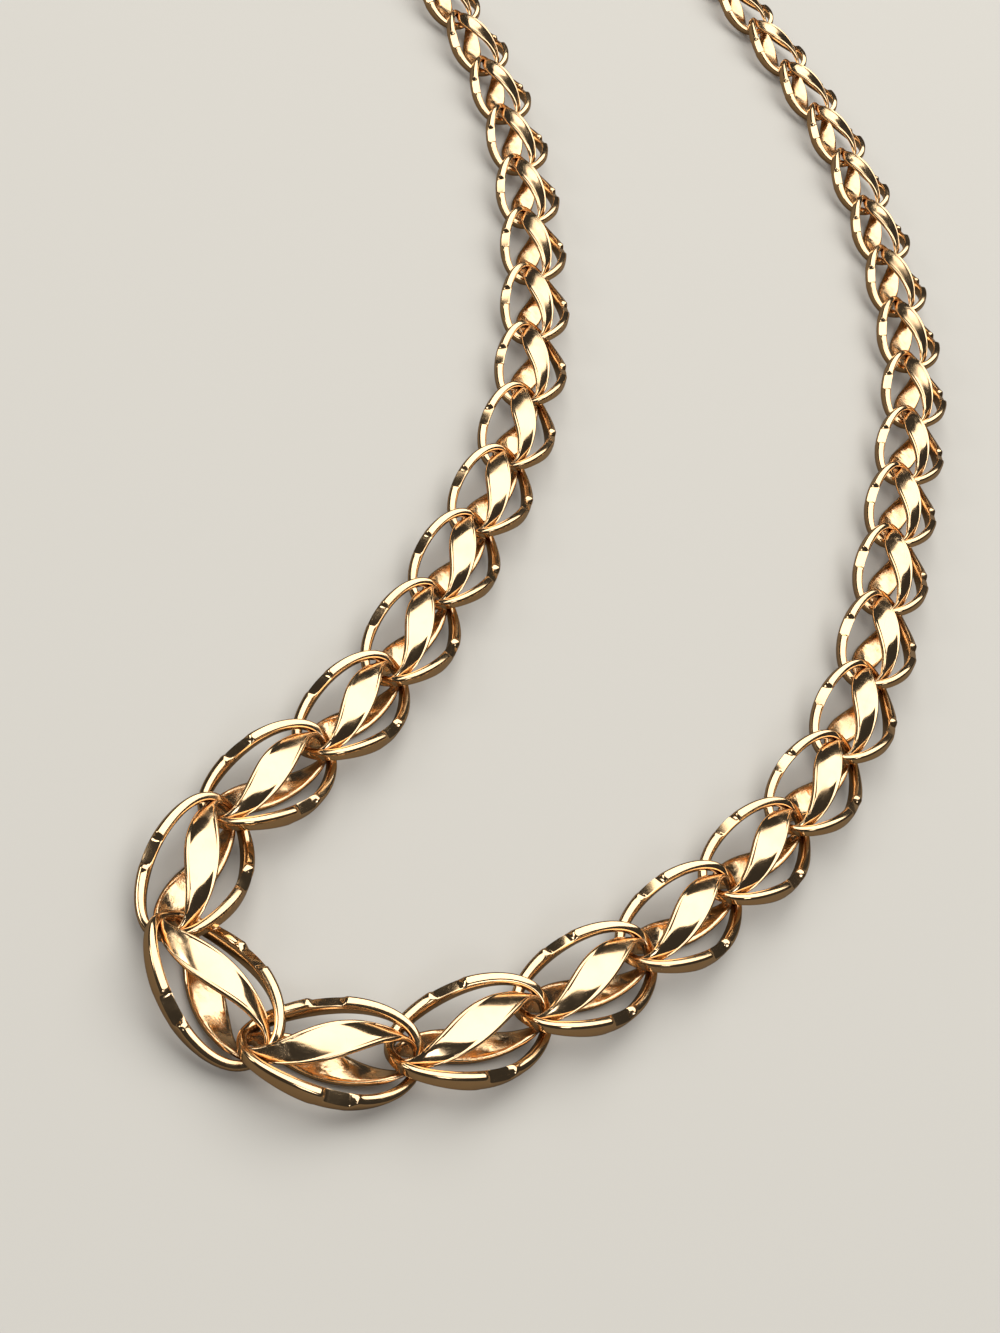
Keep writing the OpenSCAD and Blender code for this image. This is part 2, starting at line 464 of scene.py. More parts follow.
def spun_ring(sides: int, steps: int) -> bmesh.types.BMesh:
    """Spins a small circle into a closed ring about Z, one unit in radius.

    Args:
        sides: Corners of the circle.
        steps: Steps round the ring.

    Returns:
        The ring, its circle's radius 0.25.
    """
    bm = bmesh.new()
    bmesh.ops.create_circle(bm, cap_ends=False, segments=sides, radius=0.25)
    bmesh.ops.rotate(bm, verts=bm.verts[:], matrix=Matrix.Rotation(math.pi / 2, 3, "X"))
    shift(bm, (1, 0, 0))
    bmesh.ops.spin(
        bm,
        geom=bm.verts[:] + bm.edges[:],
        cent=(0, 0, 0),
        axis=(0, 0, 1),
        dvec=(0, 0, 0),
        angle=FULL_TURN,
        steps=steps,
        use_merge=True,
        use_duplicate=False,
    )
    return face_outwards(bm)


def turned(profile: Sequence[tuple[float, float]], steps: int) -> bmesh.types.BMesh:
    """Turns a profile on the lathe.

    Args:
        profile: Points (distance along X, radius), from one end to the other.
        steps: Steps round the X axis.

    Returns:
        The closed turned piece.
    """
    bm = bmesh.new()
    corners = [bm.verts.new((along, radius, 0)) for along, radius in profile]
    edges = [bm.edges.new(pair) for pair in zip(corners, corners[1:])]
    bmesh.ops.spin(
        bm,
        geom=corners + edges,
        cent=(0, 0, 0),
        axis=(1, 0, 0),
        dvec=(0, 0, 0),
        angle=FULL_TURN,
        steps=steps,
        use_merge=True,
        use_duplicate=False,
    )
    bmesh.ops.remove_doubles(bm, verts=bm.verts[:], dist=1e-5)
    return face_outwards(bm)


def plate(corners: Sequence[tuple[float, float, float]], depth: Vector) -> bmesh.types.BMesh:
    """Raises a flat outline into a plate.

    Args:
        corners: Corners of the outline, in order.
        depth: How far and which way the outline is raised.

    Returns:
        The plate, a closed shell.
    """
    bm = bmesh.new()
    face = bm.faces.new([bm.verts.new(corner) for corner in corners])
    grown = bmesh.ops.extrude_face_region(bm, geom=[face])["geom"]
    raised = [item for item in grown if isinstance(item, bmesh.types.BMVert)]
    bmesh.ops.translate(bm, verts=raised, vec=depth)
    return face_outwards(bm)


def join(target: bmesh.types.BMesh, *others: bmesh.types.BMesh) -> bmesh.types.BMesh:
    """Gathers several bmeshes in one.

    Args:
        target: The bmesh that takes the others.
        others: The others; they are freed.

    Returns:
        The target.
    """
    for other in others:
        carrier = bpy.data.meshes.new("carrier")
        other.to_mesh(carrier)
        other.free()
        target.from_mesh(carrier)
        bpy.data.meshes.remove(carrier)
    return target


# ---------------------------------------------------------------- the links


def smooth(value: float, low: float, high: float) -> float:
    """Steps smoothly from 0 at the low limit to 1 at the high one."""
    t = min(1.0, max(0.0, (value - low) / (high - low)))
    return t * t * (3 - 2 * t)


def signed_power(value: float, power: float) -> float:
    """Power of a number's size, with its sign kept."""
    return math.copysign(abs(value) ** power, value)


@dataclass
class Strand:
    """A closed strip that is oval in plan and twisted about the link's length.

    Lengths are shares of the link's pitch.
    """

    reach: float
    half_width: float
    squareness: float
    start_turn: float
    twist: float
    tip_size: tuple[float, float]
    mid_size: tuple[float, float]
    fullness: float
    sides: int
    steps: int
    roundness: float = 0.9

    def centre(self, a: float) -> Vector:
        """Finds a point of the centre line.

        Args:
            a: Angle round the ring, 0 at the nose.

        Returns:
            The point.
        """
        x = math.cos(a)
        turn = math.radians(self.start_turn + self.twist * x)
        side = self.half_width * signed_power(math.sin(a), self.squareness)
        return Vector((self.reach * x, side * math.cos(turn), side * math.sin(turn)))

    def axes(self, a: float) -> tuple[Vector, Vector]:
        """Finds how the strip stands.

        Args:
            a: Angle round the ring.

        Returns:
            The directions across the strip and through it.
        """
        step = FULL_TURN / 64
        along = (self.centre(a + step) - self.centre(a - step)).normalized()
        turn = math.radians(self.start_turn + self.twist * math.cos(a))
        flat = Vector((0, -math.sin(turn), math.cos(turn)))
        across = (flat - flat.dot(along) * along).normalized()
        return across, along.cross(across)

    def fill(self, a: float) -> float:
        """0 at the tips, 1 at mid length."""
        return abs(math.sin(a)) ** self.fullness

    def size(self, a: float) -> tuple[float, float]:
        """Works out the strip's size.

        Args:
            a: Angle round the ring.

        Returns:
            Its half width and half thickness.
        """
        fill = self.fill(a)
        width, thick = (
            tip + (mid - tip) * fill for tip, mid in zip(self.tip_size, self.mid_size)
        )
        return width / 2, thick / 2

    def section(self, a: float, corner: float) -> tuple[float, float]:
        """Finds a point of the strip's outline.

        Args:
            a: Angle round the ring.
            corner: Angle round the outline.

        Returns:
            The point's offset across the strip and through it.
        """
        half_width, half_thick = self.size(a)
        return (
            half_width * signed_power(math.cos(corner), self.roundness),
            half_thick * signed_power(math.sin(corner), self.roundness),
        )

    def build(self) -> bmesh.types.BMesh:
        """Spins a ring and draws it out into the twisted strand.

        Returns:
            The strand, a closed shell.
        """
        bm = spun_ring(self.sides, self.steps)
        for vert in bm.verts:
            a = math.atan2(vert.co.y, vert.co.x)
            corner = math.atan2(vert.co.z, math.hypot(vert.co.x, vert.co.y) - 1)
            across, through = self.axes(a)
            u, v = self.section(a, corner)
            vert.co = self.centre(a) + across * u + through * v
        return face_outwards(bm)


@dataclass
class FrameStrand(Strand):
    """The outer frame: rounded wire with a cut facet and a bead on each side."""

    facet_at: float = -0.015
    facet_half: float = 0.10
    facet_depth: float = 0.030
    facet_lean: float = math.radians(24)
    bead_gap: float = 0.022
    bead_length: float = 0.022
    bead_swell: float = 0.08

    def section(self, a: float, corner: float) -> tuple[float, float]:
        """Finds a point of the wire's outline, with the facets cut and the bead raised.

        Args:
            a: Angle round the ring.
            corner: Angle round the outline.

        Returns:
            The point's offset across the wire and through it.
        """
        u, v = super().section(a, corner)
        x = self.reach * math.cos(a)
        side = 1 if math.sin(a) > 0 else -1
        lean_u, lean_v = math.cos(self.facet_lean), math.sin(self.facet_lean)
        top = math.hypot(self.mid_size[0] / 2 * lean_u, self.mid_size[1] / 2 * lean_v)
        # The facet under the frame is the shallower one
        for face, depth in ((1, self.facet_depth), (-1, self.facet_depth * 0.4)):
            middle = self.facet_at * side * face
            inside = 1 - smooth(abs(x - middle), self.facet_half - 0.006, self.facet_half + 0.012)
            over = u * face * lean_u + v * lean_v - (top - depth)
            if over > 0:
                u -= face * lean_u * over * inside
                v -= lean_v * over * inside
            if face == 1 and u > 0:
                # The bead stands at the tail end of one facet and the nose end of the other
                bead_at = middle - side * (self.facet_half + self.bead_gap)
                u *= 1 + self.bead_swell * math.exp(-(((x - bead_at) / self.bead_length) ** 2))
        return u, v


# Outline of a leaf, from its right edge over the face, the left edge and the back, in
# shares of its half width and half thickness
LEAF_EDGE = [(1.0, 0.0), (0.985, 0.45), (0.94, 0.82), (0.87, 1.0), (0.80, 0.93), (0.75, 0.80)]
LEAF_CROWN = [(0.68, 0.90), (0.45, 1.06), (0.22, 1.12)]
LEAF_BACK = [(-0.985, -0.45), (-0.90, -0.85), (-0.65, -1.0), (-0.33, -1.0)]


def mirrored(outline: Sequence[tuple[float, float]]) -> list[tuple[float, float]]:
    """Mirrors an outline left to right and reverses it."""
    return [(-u, v) for u, v in reversed(outline)]


LEAF_OUTLINE = (
    LEAF_EDGE
    + LEAF_CROWN
    + [(0.0, 1.14)]
    + mirrored(LEAF_EDGE + LEAF_CROWN)
    + LEAF_BACK
    + [(0.0, -1.0)]
    + mirrored(LEAF_BACK)
)


@dataclass
class LeafStrand(Strand):
    """The leaf ring: a crowned face between two bevelled rims at mid length, wire at the tips."""

    def section(self, a: float, corner: float) -> tuple[float, float]:
        """Finds a point of the leaf's outline, its rims growing in from the tips.

        Args:
            a: Angle round the ring.
            corner: Angle round the outline.

        Returns:
            The point's offset across the leaf and through it.
        """
        u, v = super().section(a, corner)
        half_width, half_thick = self.size(a)
        index = round(corner / FULL_TURN * self.sides) % self.sides
        leaf_u, leaf_v = LEAF_OUTLINE[index]
        share = smooth(self.fill(a), 0.0, 0.45)
        u += (leaf_u * half_width - u) * share
        v += (leaf_v * half_thick - v) * share
        return u, v


@dataclass
class LinkPattern:
    """The one pattern that every link is a copy of, in shares of its pitch."""

    frame: FrameStrand = field(
        default_factory=lambda: FrameStrand(
            reach=0.582,
            half_width=0.333,
            squareness=0.8,
            start_turn=0,
            twist=30,
            tip_size=(0.082, 0.067),
            mid_size=(0.144, 0.092),
            fullness=3,
            sides=24,
            steps=208,
            roundness=0.62,
        )
    )
    leaf: LeafStrand = field(
        default_factory=lambda: LeafStrand(
            reach=LEAF_REACH,
            half_width=0.185,
            squareness=0.75,
            start_turn=90,
            twist=-58,
            tip_size=(0.066, 0.041),
            mid_size=(0.246, 0.044),
            fullness=2.6,
            sides=len(LEAF_OUTLINE),
            steps=128,
        )
    )

    def build(self) -> bpy.types.Mesh:
        """Builds the pattern with its mask of painted shade in its recesses, and its mask of
        grain.

        Returns:
            The pattern's mesh, one unit to the pitch.
        """
        leaf = self.leaf.build()
        self.mark_grain(leaf)
        bm = join(self.frame.build(), leaf)
        bm.normal_update()
        sharpen(bm, 48)
        self.mark_hollow_shade(bm)
        mesh = bpy.data.meshes.new("link_pattern")
        bm.to_mesh(mesh)
        bm.free()
        return mesh

    def mark_grain(self, bm: bmesh.types.BMesh) -> None:
        """Lays grain on the inner face of each leaf and on its face near one tip.

        Args:
            bm: The leaf ring.
        """
        bm.normal_update()
        layer = bm.verts.layers.float.new("grain")
        for vert in bm.verts:
            inner = 0.7 * smooth(-vert.normal.z * math.copysign(1, vert.co.z), 0.2, 0.7)
            nose = smooth(vert.co.x * math.copysign(1, vert.co.z), 0.20, 0.34) * 0.8
            vert[layer] = max(inner, nose)

    def mark_hollow_shade(self, bm: bmesh.types.BMesh) -> None:
        """Marks how far each vertex is closed in by the link and its neighbours, which sets its
        painted shade.

        Args:
            bm: The whole link.
        """
        # This occlusion share drives the painted shade in the gold's colour
        layer = bm.verts.layers.float.new("hollow_shade")
        group = bm.copy()
        for step in (-1, 1):
            neighbour = bm.copy()
            shift(neighbour, (step, 0, 0))
            join(group, neighbour)
        tree = BVHTree.FromBMesh(group)
        group.free()
        rays = sphere_directions(28)
        for vert in bm.verts:
            start = vert.co + vert.normal * 0.004
            outward = [ray for ray in rays if ray.dot(vert.normal) > 0.15]
            hits = sum(tree.ray_cast(start, ray, 0.42)[0] is not None for ray in outward)
            vert[layer] = hits / max(len(outward), 1)


def sphere_directions(count: int) -> list[Vector]:
    """Spreads directions evenly over the sphere.

    Args:
        count: Number of directions.

    Returns:
        The directions.
    """
    golden = math.pi * (3 - math.sqrt(5))
    rays = []
    for i in range(count):
        z = 1 - (2 * i + 1) / count
        radius = math.sqrt(1 - z * z)
        rays.append(Vector((radius * math.cos(i * golden), radius * math.sin(i * golden), z)))
    return rays


@dataclass
class LinkPlace:
    """Where one link lies: middle, heading and pitch, in metres and radians."""

    name: str
    middle: Vector
    heading: float
    pitch: float

    def matrix(self) -> Matrix:
        """Matrix from millimetres about the link's middle to the row frame."""
        turn = Matrix.Rotation(self.heading, 4, "Z")
        return Matrix.Translation(self.middle) @ turn @ Matrix.Scale(MM, 4)

    def end_matrix(self) -> Matrix:
        """The same matrix with its height from the surface, for what hangs on the link."""
        down = Matrix.Translation((0, 0, -self.middle.z))
        return down @ self.matrix()


@dataclass
class ChainLayout:
    """The lie of all the links, read from the joints between them."""

    joints: dict[str, Vector]

    def pivot(self, inner: int, outer: int) -> Vector:
        """Finds where a link hangs in its neighbour.

        Args:
            inner: Number of the link nearer the middle of the chain.
            outer: Number of the next link out, or the number past an end link's.

        Returns:
            The pivot, in metres.
        """
        if outer < 1:
            return self.joints["t_bar_jump_ring_swing"]
        if outer > LINK_COUNT:
            return self.joints["swivel_jump_ring_swing"]
        return self.joints[f"swing_link_{inner:02d}_{outer:02d}"]

    def place(self, number: int) -> LinkPlace:
        """Works out one link's place.

        Args:
            number: Number of the link, from 1 at the T-bar.

        Returns:
            The place, its X axis pointing outwards along the arm.
        """
        pitch = MIDDLE_PITCH * (1 - TAPER * abs(number - MIDDLE_LINK))
        side = -1 if number < MIDDLE_LINK else 1
        if number == MIDDLE_LINK:
            start = self.pivot(number, number - 1)
        else:
            start = self.pivot(number - side, number)
        way = self.pivot(number, number + side) - start
        way.z = 0
        middle = start + way.normalized() * (pitch / 2)
        middle.z = (LEAF_RISE + LEAF_THICK / 2) * pitch
        return LinkPlace(f"link_{number:02d}", middle, math.atan2(way.y, way.x), pitch)


@dataclass
class Chain:
    """All the links, copied from one pattern."""

    layout: ChainLayout
    pattern: LinkPattern = field(default_factory=LinkPattern)

    def build(self, shop: Workshop) -> None:
        """Builds every link in its place.

        Args:
            shop: Workshop that finishes the links.
        """
        mesh = self.pattern.build()
        for number in range(1, LINK_COUNT + 1):
            place = self.layout.place(number)
            bm = bmesh.new()
            bm.from_mesh(mesh)
            bmesh.ops.scale(bm, verts=bm.verts[:], vec=(place.pitch / MM,) * 3)
            name = place.name
            shop.finish(bm, f"leaf_{name}", place.matrix(), Slot.LINK, name, name)
        bpy.data.meshes.remove(mesh)


# ---------------------------------------------------------------- the fittings


# Share of the CAD model's wire that the smooth wire fills
SMOOTH_WIRE = 0.99


def on_circle(radius: float, angle: float) -> Vector:
    """Point of a circle about Z."""
    return Vector((radius * math.cos(angle), radius * math.sin(angle), 0))


def bent(bm: bmesh.types.BMesh, radius: float, start: float) -> bmesh.types.BMesh:
    """Bends a straight piece along X into an arc about Z.

    Args:
        bm: The piece, its axis on X.
        radius: Radius of the arc that its axis follows.
        start: Angle of the arc where x is 0, in radians.

    Returns:
        The same piece, bent.
    """
    for vert in bm.verts:
        height = vert.co.z
        vert.co = on_circle(radius - vert.co.y, start + vert.co.x / radius)
        vert.co.z = height
    return face_outwards(bm)


def cut_square(bm: bmesh.types.BMesh, point: Vector, outward: Vector, reach: float) -> None:
    """Cuts a rod's end off along a plane and closes the cut.

    Args:
        bm: The rod.
        point: A point of the plane, on the rod's axis.
        outward: Direction of what is cut off.
        reach: How far from the point the cut goes.
    """
    faces = [
        face
        for face in bm.faces
        if all((vert.co - point).length < reach for vert in face.verts)
    ]
    edges = list({edge for face in faces for edge in face.edges})
    verts = list({vert for face in faces for vert in face.verts})
    cut = bmesh.ops.bisect_plane(
        bm,
        geom=verts + edges + faces,
        plane_co=point,
        plane_no=outward,
        clear_outer=True,
    )
    rim = [item for item in cut["geom_cut"] if isinstance(item, bmesh.types.BMEdge)]
    bmesh.ops.holes_fill(bm, edges=rim, sides=0)


def rod_profile(
    length: float, radius: float, nose: float, stations: int
) -> list[tuple[float, float]]:
    """Profile of a rod with one flat and one rounded end.

    Args:
        length: Length of the rod.
        radius: Radius of the rod.
        nose: Length of its rounded end.
        stations: Steps along the rod.

    Returns:
        Points (distance along X, radius).
    """
    points = [(0.0, 0.0), (0.0, radius * 0.92), (0.04, radius)]
    points += [(length * i / stations, radius) for i in range(1, stations)]
    points = [point for point in points if point[0] < length - nose]
    for i in range(1, 9):
        a = i / 8 * math.pi / 2
        points.append((length - nose + nose * math.sin(a), radius * math.cos(a)))
    return points


def round_ring(span: float, wire: float) -> bmesh.types.BMesh:
    """Makes a round wire ring about Z.

    Args:
        span: Diameter of the centre line.
        wire: Diameter of the CAD model's wire.

    Returns:
        The ring.
    """
    bm = spun_ring(24, 112)
    thick = 2 * wire * SMOOTH_WIRE
    for vert in bm.verts:
        away = math.hypot(vert.co.x, vert.co.y) - 1
        height = vert.co.z * thick
        vert.co = on_circle(span / 2 + away * thick, math.atan2(vert.co.y, vert.co.x))
        vert.co.z = height
    return face_outwards(bm)


@dataclass(frozen=True)
class EndFit:
    """Where the fittings lie, in millimetres out from the middle of an end link."""

    pitch: float = MIDDLE_PITCH / MM * (1 - TAPER * (LINK_COUNT - MIDDLE_LINK))
    play: float = 0.25
    jump_wire: float = 0.8
    jump_span: float = 4.2
    eye_wire: float = 0.9
    eye_span: float = 4.4
    bar_d: float = 2.6
    collar_d: float = 3.7
    bar_length: float = 24.0
    barrel_d: float = 3.7
    barrel_length: float = 4.2
    slot_start: float = 1.5
    slot_end: float = 2.4
    slot_half: float = 1.25
    hook_span: float = 9.2
    hook_rod: float = 2.2
    gate_rod: float = 1.7
    pin_turn: float = math.radians(-150)
    lug_radius: float = 1.2
    lug_foot: float = 1.6
    lug_thick: float = 0.65

    @property
    def jump_x(self) -> float:
        """Middle of the jump ring."""
        tip = (LEAF_REACH - LEAF_THICK / 2) * self.pitch
        return tip - self.play - self.jump_wire / 2 + self.jump_span / 2

    @property
    def jump_z(self) -> float:
        """Height of the jump ring's middle."""
        return self.jump_span / 2 * math.sin(math.pi / 4) + self.jump_wire / 2

    @property
    def eye_x(self) -> float:
        """Middle of the eye or the bow."""
        inner = self.jump_x + self.jump_span / 2 - self.jump_wire / 2
        return inner - self.play - self.eye_wire / 2 + self.eye_span / 2

    @property
    def eye_end(self) -> float:
        """Outer edge of the eye or the bow."""
        return self.eye_x + self.eye_span / 2 + self.eye_wire / 2

    @property
    def bar_x(self) -> float:
        """Middle of the T-bar."""
        return self.eye_end + 0.35 + self.collar_d / 2

    @property
    def barrel_x(self) -> float:
        """Near end of the barrel."""
        return self.eye_end + 0.25

    @property
    def barrel_end(self) -> float:
        """Far end of the barrel."""
        return self.barrel_x + self.barrel_length

    @property
    def hook_x(self) -> float:
        """Middle of the hook."""
        return self.barrel_end + self.hook_span / 2 - 0.8

    @property
    def pin(self) -> Vector:
        """Middle of the gate's pin."""
        middle = Vector((self.hook_x, 0, self.barrel_d / 2))
        return middle + on_circle(self.hook_span / 2, self.pin_turn)


@dataclass
class JumpRing:
    """Soldered wire ring between an end link and a fitting."""

    fit: EndFit
    end: str

    def build(self, shop: Workshop, place: Matrix) -> None:
        """Builds the ring, leaning against the link's tip.

        Args:
            shop: Workshop that finishes the ring.
            place: Matrix from the end link's millimetres to the row frame.
        """
        fit = self.fit
        bm = round_ring(fit.jump_span, fit.jump_wire)
        for vert in bm.verts:
            # Drawn wire is never quite even
            vert.co.z *= 1 + 0.02 * math.cos(6 * math.atan2(vert.co.y, vert.co.x))
        lean = Matrix.Rotation(math.radians(-45), 4, "X")
        move(bm, Matrix.Translation((fit.jump_x, 0, fit.jump_z)) @ lean)
        sharpen(bm)
        name = f"{self.end}_jump_ring"
        shop.finish(bm, f"soldered_{name}", place, Slot.WIRE, name, name)


def ring_with_stem(
    fit: EndFit, height: float, stem: Sequence[tuple[float, float]]
) -> bmesh.types.BMesh:
    """Makes an eye with a turned stem that points outwards.

    Args:
        fit: Lie of the fittings.
        height: Height of the eye's middle.
        stem: Points (distance from the eye's middle, radius) of the stem.

    Returns:
        The eye in the end's millimetres.
    """
    bm = join(round_ring(fit.eye_span, fit.eye_wire), turned(stem, 40))
    shift(bm, (fit.eye_x, 0, height))
    sharpen(bm)
    return bm


@dataclass
class TBar:
    """Turned bar with a collar, two beads and an eye riveted into the collar."""

    fit: EndFit

    def half_profile(self) -> list[tuple[float, float]]:
        """Draws half of the bar's profile: collar, bead, plain bar, groove and round end.

        Returns:
            Points (distance from the collar's middle, radius).
        """
        radius = self.fit.bar_d / 2
        collar = self.fit.collar_d / 2
        end = self.fit.bar_length / 2
        half = [(0.0, collar - 0.10), (0.32, collar - 0.10), (0.38, collar - 0.02)]
        half += [(0.46, collar), (1.30, collar), (1.46, collar - 0.05), (1.56, collar - 0.18)]
        half += [(1.60, radius + 0.12), (1.66, radius + 0.10)]
        for i in range(9):
            a = math.pi * (1 - i / 8)
            half.append((2.0 + 0.34 * math.cos(a), radius + 0.06 + 0.32 * math.sin(a)))
        half += [(2.44, radius - 0.06), (2.60, radius - 0.02), (2.75, radius)]
        half += [(end * share, radius) for share in (0.35, 0.5, 0.65)]
        half += [(end - 2.10, radius), (end - 2.04, radius - 0.07), (end - 1.92, radius - 0.07)]
        half += [(end - 1.86, radius), (end - 1.3, radius)]
        for i in range(1, 12):
            a = i / 11 * math.pi / 2
            half.append((end - 1.3 + 1.3 * math.sin(a), radius * math.cos(a)))
        return half

    def build(self, shop: Workshop, place: Matrix) -> None:
        """Builds the bar and its eye.

        Args:
            shop: Workshop that finishes the pieces.
            place: Matrix from the end link's millimetres to the row frame.
        """
        fit = self.fit
        half = self.half_profile()
        bm = turned(mirrored(half[1:]) + half, 72)
        across = Matrix.Rotation(math.pi / 2, 4, "Z")
        move(bm, Matrix.Translation((fit.bar_x, 0, fit.collar_d / 2)) @ across)
        sharpen(bm, 25)
        shop.finish(bm, "turned_t_bar", place, Slot.POLISHED, "t_bar", "t_bar")
        start = fit.eye_span / 2
        reach = fit.bar_x - fit.eye_x - fit.collar_d / 2 + 0.2
        stem = [(start, 0), (start, 0.62), (start + 0.34, 0.62), (start + 0.42, 0.60)]
        stem += [(start + 0.52, 0.64), (reach - 0.02, 0.64), (reach, 0.60), (reach, 0)]
        eye = ring_with_stem(fit, fit.collar_d / 2, stem)
        shop.finish(eye, "riveted_t_bar_eye", place, Slot.WIRE, "t_bar", "t_bar_eye")


@dataclass
class SwivelCatch:
    """Bow, barrel, hook and sprung gate."""

    fit: EndFit
    nose_turn: float = math.radians(-54.7)
    gate_turn: float = math.radians(-58.4)
    cut_reach: float = 3.4

    def around_hook(self, bm: bmesh.types.BMesh) -> None:
        """Moves a piece from the hook's middle to its place."""
        shift(bm, (self.fit.hook_x, 0, self.fit.barrel_d / 2))

    def bow(self) -> bmesh.types.BMesh:
        """Makes the bow: an eye with a stem that runs through the barrel's wall.

        Returns:
            The bow.
        """
        fit = self.fit
        start = fit.eye_span / 2
        end = fit.barrel_x + 2.28 - fit.eye_x
        stem = [(start, 0), (start, 0.69), (start + 0.36, 0.69), (start + 0.5, 0.69)]
        stem += [(end - 0.05, 0.69), (end, 0.62), (end, 0)]
        return ring_with_stem(fit, fit.barrel_d / 2, stem)

    def rivet(self) -> bmesh.types.BMesh:
        """Turns the collar that is riveted on the stem's end.

        Returns:
            The collar.
        """
        fit = self.fit
        profile = [(0.0, 0.0), (0.0, 0.98), (0.06, 1.07), (0.16, 1.09), (0.54, 1.09)]
        profile += [(0.64, 1.05), (0.70, 0.94), (0.70, 0.30), (0.66, 0.0)]
        bm = turned(profile, 48)
        shift(bm, (fit.barrel_x + fit.slot_start + 0.1, 0, fit.barrel_d / 2))
        sharpen(bm, 25)
        return bm

    def barrel(self) -> bmesh.types.BMesh:
        """Makes the barrel: a bored front, a back and two cheeks beside the slot.

        Returns:
            The barrel.
        """
        fit = self.fit
        r = fit.barrel_d / 2
        front = [(0.0, 0.76), (0.0, r - 0.42), (0.06, r - 0.22), (0.16, r - 0.10), (0.34, r)]
        front += [(0.80, r), (0.86, r - 0.08), (1.00, r - 0.08), (1.06, r)]
        front += [(fit.slot_start, r), (fit.slot_start, 0.76), (0.0, 0.76)]
        back = [(fit.slot_end, 0.0), (fit.slot_end, r), (2.9, r), (2.96, r - 0.08)]
        back += [(3.10, r - 0.08), (3.16, r), (3.6, r), (3.8, r - 0.10), (4.0, r - 0.30)]
        back += [(4.12, r - 0.55), (fit.barrel_length, 0.0)]
        bm = join(turned(front, 72), turned(back, 72), self.cheek(1), self.cheek(-1))
        shift(bm, (fit.barrel_x, 0, r))
        return bm

    def cheek(self, side: int) -> bmesh.types.BMesh:
        """Makes one wall of the slot, a slice of the barrel.

        Args:
            side: 1 for the wall on +Y, -1 for the other.

        Returns:
            The wall.
        """
        fit = self.fit
        radius = fit.barrel_d / 2
        limit = math.acos(fit.slot_half / radius)
        steps = 16
        corners = []
        for i in range(steps + 1):
            a = -limit + 2 * limit * i / steps
            corners.append(
                (fit.slot_start, side * radius * math.cos(a), radius * math.sin(a))
            )
        return plate(corners, Vector((fit.slot_end - fit.slot_start, 0, 0)))

    def hook(self) -> bmesh.types.BMesh:
        """Bends the hook's rod, thinner at its nose, which is cut square to the gate.

        Returns:
            The hook.
        """
        fit = self.fit
        radius = fit.hook_span / 2
        start = math.radians(-66)
        length = radius * (math.pi - start)
        bm = turned(rod_profile(length, fit.hook_rod / 2, 0.3, 96), 36)
        for vert in bm.verts:
            slim = 0.86 + 0.14 * smooth(vert.co.x / length, 0.0, 0.30)
            vert.co.y *= slim
            vert.co.z *= slim
        bent(bm, radius, start)
        nose = on_circle(radius, self.nose_turn)
        cut_square(bm, nose, on_circle(radius, fit.pin_turn) - nose, self.cut_reach)
        self.around_hook(bm)
        return bm

    def lug(self, low: float) -> bmesh.types.BMesh:
        """Makes one of the two plates that hold the gate's pin.

        Args:
            low: Height of its lower face over the pin's middle.

        Returns:
            The plate, its edges bevelled.
        """
        fit = self.fit
        corners = [(fit.lug_radius, fit.lug_foot, low), (-fit.lug_radius, fit.lug_foot, low)]
        steps = 20
        for i in range(steps + 1):
            x, y, _ = on_circle(fit.lug_radius, math.pi + math.pi * i / steps)
            corners.append((x, y, low))
        bm = plate(corners, Vector((0, 0, fit.lug_thick)))
        sharp = [edge for edge in bm.edges if edge.calc_face_angle(0.0) > 1.2]
        bmesh.ops.bevel(bm, geom=sharp, offset=0.09, segments=3, profile=0.5, affect="EDGES")
        shift(bm, fit.pin)
        return bm

    def gate(self) -> bmesh.types.BMesh:
        """Makes the gate: knuckle, bent rod and thumb knob.

        Returns:
            The gate.
        """
        fit = self.fit
        radius = fit.hook_span / 2
        start = fit.pin_turn + math.radians(12.5)
        length = radius * (math.radians(-50) - start)
        rod = turned(rod_profile(length, fit.gate_rod / 2 * 0.98, 0.2, 64), 36)
        bent(rod, radius, start)
        pin = on_circle(radius, fit.pin_turn)
        tip = on_circle(radius, self.gate_turn)
        cut_square(rod, tip, tip - pin, self.cut_reach)
        for vert in rod.verts:
            # The rod thins where it enters between the lugs
            away = math.hypot(vert.co.x - pin.x, vert.co.y - pin.y)
            vert.co.z *= 0.56 + 0.44 * smooth(away, 1.75, 2.5)
        knob = [(0.0, 0.0), (0.0, 0.40), (0.28, 0.36), (0.40, 0.42), (0.50, 0.58), (0.62, 0.70)]
        knob += [(0.78, 0.74), (0.94, 0.70), (1.08, 0.56), (1.17, 0.34), (1.20, 0.0)]
        thumb = turned(knob, 40)
        turn = Matrix.Rotation(math.radians(-95), 4, "Z")
        move(thumb, turn @ Matrix.Translation((radius + 0.38, 0, 0)))
        bm = join(rod, thumb)
        self.around_hook(bm)
        wall = [(-0.55, 0.52), (-0.55, 1.10), (-0.46, 1.19), (0.46, 1.19), (0.55, 1.10)]
        wall += [(0.55, 0.92), (0.05, 0.90), (0.05, 0.52), (-0.55, 0.52)]
        knuckle = turned(wall, 56)
        self.stand_on_pin(knuckle)
        bm = join(bm, knuckle)
        sharpen(bm, 28)
        return bm

    def stand_on_pin(self, bm: bmesh.types.BMesh) -> None:
        """Stands a piece that was turned about X up on the gate's pin."""
        upright = Matrix.Rotation(-math.pi / 2, 4, "Y")
        move(bm, Matrix.Translation(self.fit.pin) @ upright)

